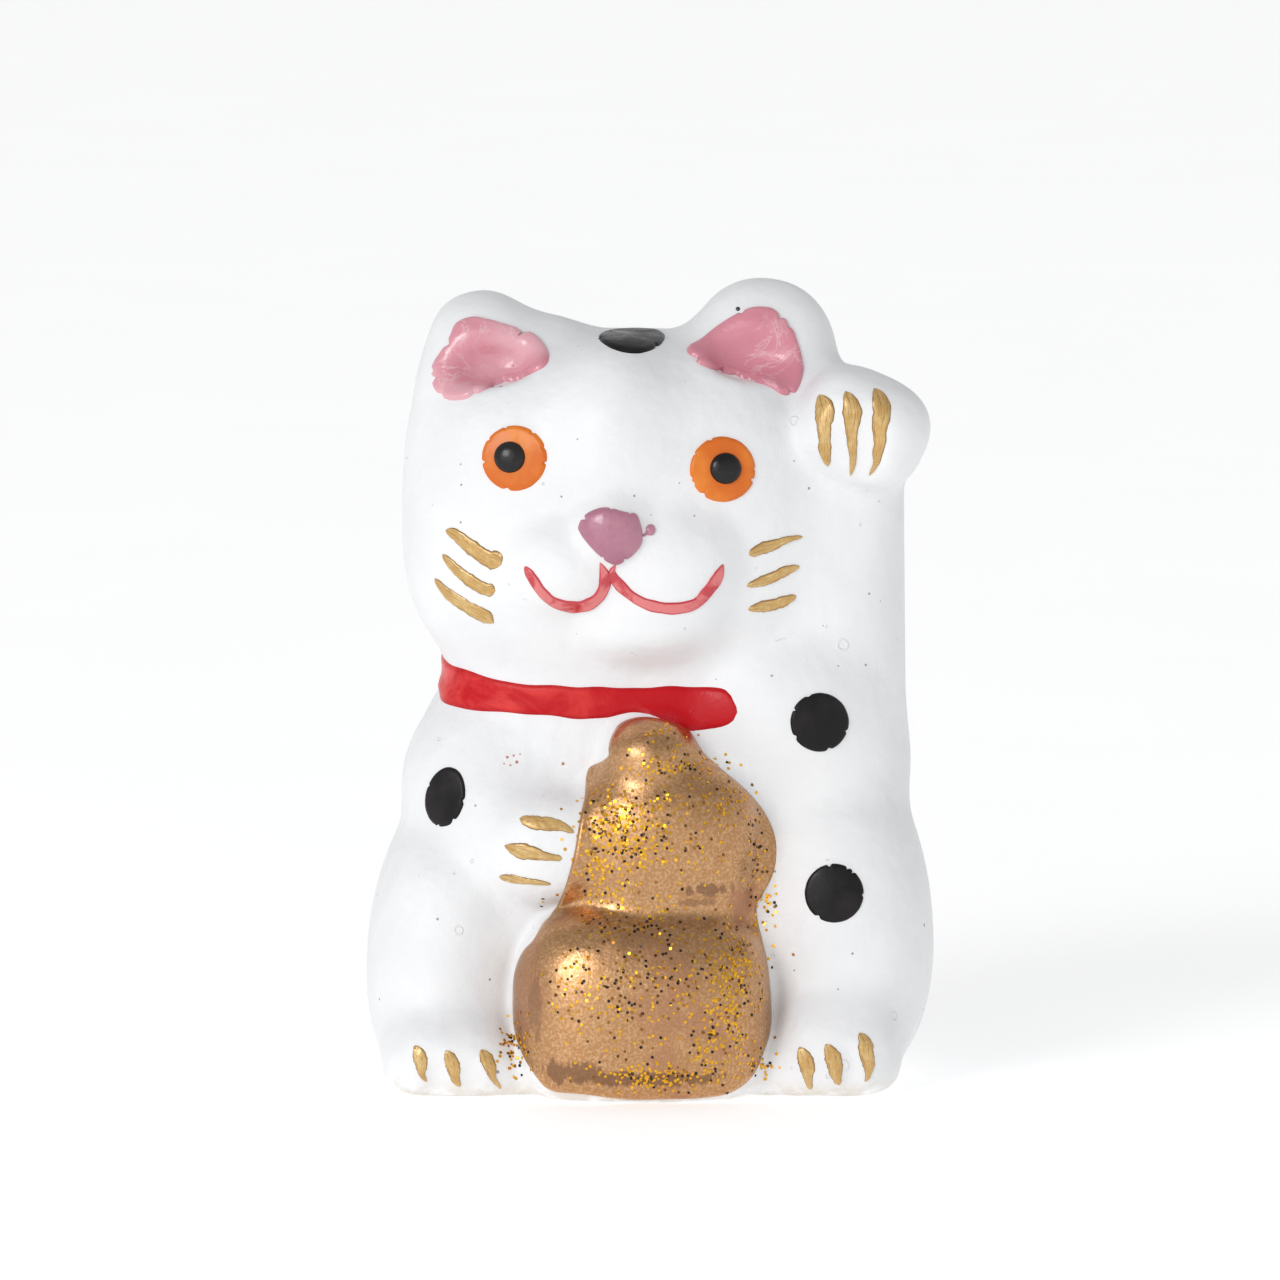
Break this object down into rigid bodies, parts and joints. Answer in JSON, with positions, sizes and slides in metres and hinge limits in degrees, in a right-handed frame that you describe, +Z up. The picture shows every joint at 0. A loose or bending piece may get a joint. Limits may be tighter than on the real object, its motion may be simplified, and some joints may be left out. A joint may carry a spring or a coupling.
{
  "type": "beckoning cat figurine",
  "caption": "Small seated beckoning cat figurine with one paw raised beside its ear and a gourd held in front, hollow cast body with painted enamel details.",
  "frame": {"origin": "middle of the bounding box at the height of the flat base the cat stands on", "axes": "+Z up through the head, +Y from the face to the back, +X towards the side of the raised paw"},
  "size_m": [0.0361, 0.0259, 0.0505],
  "materials": {
    "white_bisque": "matt white, slightly porous, from a dipped coat over a cast clay body",
    "pink_enamel": "glossy pink brushed enamel",
    "orange_enamel": "glossy orange enamel",
    "black_enamel": "glossy black enamel",
    "red_enamel": "glossy red enamel",
    "gold_enamel": "dull ochre gold enamel",
    "gourd_gold": "metallic copper-gold enamel"
  },
  "bodies": {
    "root": {"cast_body": "white_bisque", "ear_lining_left": "pink_enamel", "ear_lining_right": "pink_enamel", "iris_left": "orange_enamel", "iris_right": "orange_enamel", "pupil_left": "black_enamel", "pupil_right": "black_enamel", "nose": "pink_enamel", "mouth_left": "red_enamel", "mouth_right": "red_enamel", "collar": "red_enamel", "gourd_coat": "gourd_gold", "whisker_left_upper": "gold_enamel", "whisker_left_middle": "gold_enamel", "whisker_left_lower": "gold_enamel", "whisker_right_upper": "gold_enamel", "whisker_right_middle": "gold_enamel", "whisker_right_lower": "gold_enamel", "claw_raised_inner": "gold_enamel", "claw_raised_middle": "gold_enamel", "claw_raised_outer": "gold_enamel", "claw_resting_upper": "gold_enamel", "claw_resting_middle": "gold_enamel", "claw_resting_lower": "gold_enamel", "claw_left_foot_outer": "gold_enamel", "claw_left_foot_middle": "gold_enamel", "claw_left_foot_inner": "gold_enamel", "claw_right_foot_inner": "gold_enamel", "claw_right_foot_middle": "gold_enamel", "claw_right_foot_outer": "gold_enamel", "spot_shoulder": "black_enamel", "spot_arm": "black_enamel", "spot_thigh": "black_enamel", "spot_head": "black_enamel", "spot_back_upper": "black_enamel", "spot_back_lower": "black_enamel"}
  },
  "joints": []
}
